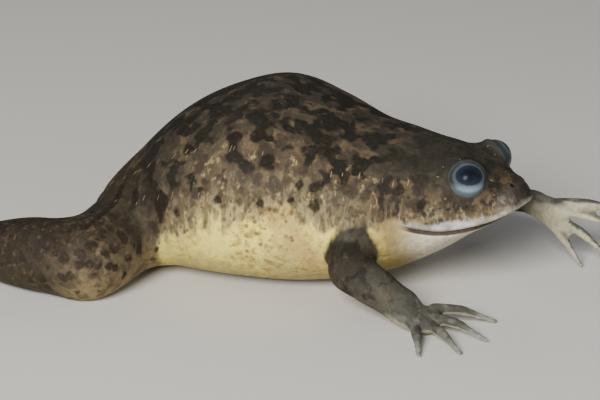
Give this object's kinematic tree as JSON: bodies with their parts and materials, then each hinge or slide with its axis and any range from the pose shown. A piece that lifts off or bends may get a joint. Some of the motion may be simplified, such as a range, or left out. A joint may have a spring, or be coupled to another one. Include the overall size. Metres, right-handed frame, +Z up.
{
  "type": "african clawed frog",
  "caption": "Life-size still model of a plump clawed frog lying on its belly, its head raised, its hands spread and its webbed hind feet out to the sides.",
  "frame": {"origin": "the middle of the flat under the belly, on the floor that the frog rests on", "axes": "+X towards the snout, +Y towards the frog's left, +Z up"},
  "size_m": [0.1908, 0.183, 0.0443],
  "materials": {
    "back_skin": "smooth wet skin, brown olive with dark blotches, paler on the flank",
    "throat_skin": "smooth wet skin, cream",
    "limb_skin": "smooth wet skin, dark brown grey with darker spots",
    "eye": "wet and glossy, slate blue with a pale ring",
    "claw": "black horn, polished"
  },
  "bodies": {
    "root": {"trunk": "back_skin", "head": "back_skin", "lower_jaw": "throat_skin", "eye_right": "eye", "eye_left": "eye", "upper_arm_right": "limb_skin", "forearm_right": "limb_skin", "hand_right": "limb_skin", "upper_arm_left": "limb_skin", "forearm_left": "limb_skin", "hand_left": "limb_skin", "thigh_right": "limb_skin", "shank_right": "limb_skin", "foot_right": "limb_skin", "claw_right_1": "claw", "claw_right_2": "claw", "claw_right_3": "claw", "thigh_left": "limb_skin", "shank_left": "limb_skin", "foot_left": "limb_skin", "claw_left_1": "claw", "claw_left_2": "claw", "claw_left_3": "claw"}
  },
  "joints": []
}
